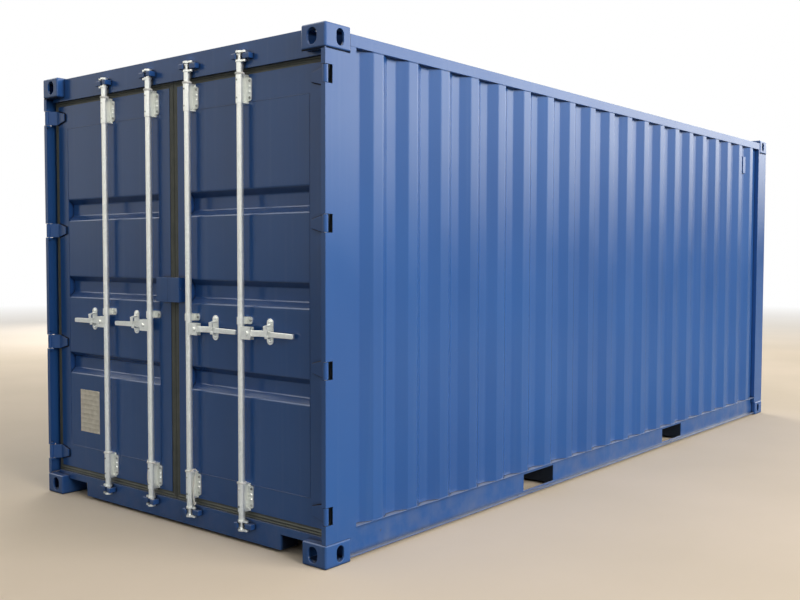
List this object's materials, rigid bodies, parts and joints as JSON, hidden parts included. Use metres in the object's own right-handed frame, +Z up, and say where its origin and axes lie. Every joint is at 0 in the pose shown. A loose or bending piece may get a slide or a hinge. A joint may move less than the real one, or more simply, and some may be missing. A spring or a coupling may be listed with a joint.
{
  "type": "shipping container",
  "caption": "General purpose steel freight container with corrugated walls, corner castings, fork pockets and double end doors with locking rods.",
  "frame": {"origin": "centre of the footprint, on the ground under the corner castings", "axes": "+X along the length towards the closed front end, doors at -X, +Z up, the right side at -Y"},
  "size_m": [6.0584, 2.438, 2.591],
  "materials": {
    "blue_paint": "gloss",
    "galvanised_steel": "dull zinc",
    "black_rubber": "matt",
    "white_rope": "braided",
    "floor_plywood": "varnished",
    "plate_metal": "satin"
  },
  "bodies": {
    "frame_and_walls": {"bottom_corner_castings": "blue_paint", "top_corner_castings": "blue_paint", "rear_post_right": "blue_paint", "rear_post_left": "blue_paint", "front_post_right": "blue_paint", "front_post_left": "blue_paint", "door_header": "blue_paint", "door_sill": "blue_paint", "upper_cam_keepers": "blue_paint", "lower_cam_keepers": "blue_paint", "top_rail_right": "blue_paint", "top_rail_left": "blue_paint", "bottom_rail_right": "blue_paint", "bottom_rail_left": "blue_paint", "front_top_rail": "blue_paint", "front_bottom_rail": "blue_paint", "side_wall_right": "blue_paint", "side_wall_left": "blue_paint", "front_wall": "blue_paint", "roof_panel": "blue_paint", "roof_end_plates": "blue_paint", "plywood_floor": "floor_plywood", "cross_members": "blue_paint", "fork_pocket_plates": "blue_paint", "side_ventilators": "blue_paint", "hinge_pins_right": "galvanised_steel", "hinge_pins_left": "galvanised_steel"},
    "right_door": {"right_door_frame": "blue_paint", "right_door_panel": "blue_paint", "right_door_seal": "black_rubber", "right_hinge_blades": "blue_paint", "right_rod_brackets": "galvanised_steel", "right_handle_cradles": "galvanised_steel", "right_lock_box": "blue_paint", "tie_rope_right": "white_rope"},
    "left_door": {"left_door_frame": "blue_paint", "left_door_panel": "blue_paint", "left_door_seal": "black_rubber", "left_hinge_blades": "blue_paint", "left_rod_brackets": "galvanised_steel", "left_handle_cradles": "galvanised_steel", "left_lock_box": "blue_paint", "data_plate": "plate_metal", "tie_rope_left": "white_rope"},
    "rod_1": {"locking_rod_1": "galvanised_steel"},
    "handle_1": {"rod_handle_1": "galvanised_steel"},
    "catch_1": {"handle_catch_1": "galvanised_steel"},
    "rod_2": {"locking_rod_2": "galvanised_steel"},
    "handle_2": {"rod_handle_2": "galvanised_steel"},
    "catch_2": {"handle_catch_2": "galvanised_steel"},
    "rod_3": {"locking_rod_3": "galvanised_steel"},
    "handle_3": {"rod_handle_3": "galvanised_steel"},
    "catch_3": {"handle_catch_3": "galvanised_steel"},
    "rod_4": {"locking_rod_4": "galvanised_steel"},
    "handle_4": {"rod_handle_4": "galvanised_steel"},
    "catch_4": {"handle_catch_4": "galvanised_steel"}
  },
  "joints": [
    {"name": "right_door_swing", "type": "hinge", "parent": "frame_and_walls", "child": "right_door", "pos_m": [-3.011, -1.201, 1.3035], "axis": [0, 0, 1], "range_deg": [0, 262]},
    {"name": "left_door_swing", "type": "hinge", "parent": "frame_and_walls", "child": "left_door", "pos_m": [-3.011, 1.201, 1.3035], "axis": [0, 0, -1], "range_deg": [0, 262]},
    {"name": "rod_1_turn", "type": "hinge", "parent": "left_door", "child": "rod_1", "pos_m": [-3.004, 0.595, 1.3], "axis": [0, 0, -1], "range_deg": [-110, 0]},
    {"name": "handle_1_lift", "type": "hinge", "parent": "rod_1", "child": "handle_1", "pos_m": [-3.004, 0.65, 1.104], "axis": [-1, 0, 0], "range_deg": [-8, 0]},
    {"name": "catch_1_swing", "type": "hinge", "parent": "left_door", "child": "catch_1", "pos_m": [-2.9718, 0.773, 1.163], "axis": [-1, 0, 0], "range_deg": [-100, 0]},
    {"name": "rod_2_turn", "type": "hinge", "parent": "left_door", "child": "rod_2", "pos_m": [-3.004, 0.172, 1.3], "axis": [0, 0, -1], "range_deg": [-110, 0]},
    {"name": "handle_2_lift", "type": "hinge", "parent": "rod_2", "child": "handle_2", "pos_m": [-3.004, 0.227, 1.104], "axis": [-1, 0, 0], "range_deg": [-8, 0]},
    {"name": "catch_2_swing", "type": "hinge", "parent": "left_door", "child": "catch_2", "pos_m": [-2.9718, 0.35, 1.163], "axis": [-1, 0, 0], "range_deg": [-100, 0]},
    {"name": "rod_3_turn", "type": "hinge", "parent": "right_door", "child": "rod_3", "pos_m": [-3.004, -0.172, 1.3], "axis": [0, 0, 1], "range_deg": [-110, 0]},
    {"name": "handle_3_lift", "type": "hinge", "parent": "rod_3", "child": "handle_3", "pos_m": [-3.004, -0.227, 1.104], "axis": [1, 0, 0], "range_deg": [-8, 0]},
    {"name": "catch_3_swing", "type": "hinge", "parent": "right_door", "child": "catch_3", "pos_m": [-2.9718, -0.35, 1.163], "axis": [1, 0, 0], "range_deg": [-100, 0]},
    {"name": "rod_4_turn", "type": "hinge", "parent": "right_door", "child": "rod_4", "pos_m": [-3.004, -0.595, 1.3], "axis": [0, 0, 1], "range_deg": [-110, 0]},
    {"name": "handle_4_lift", "type": "hinge", "parent": "rod_4", "child": "handle_4", "pos_m": [-3.004, -0.65, 1.104], "axis": [1, 0, 0], "range_deg": [-8, 0]},
    {"name": "catch_4_swing", "type": "hinge", "parent": "right_door", "child": "catch_4", "pos_m": [-2.9718, -0.773, 1.163], "axis": [1, 0, 0], "range_deg": [-100, 0]}
  ]
}
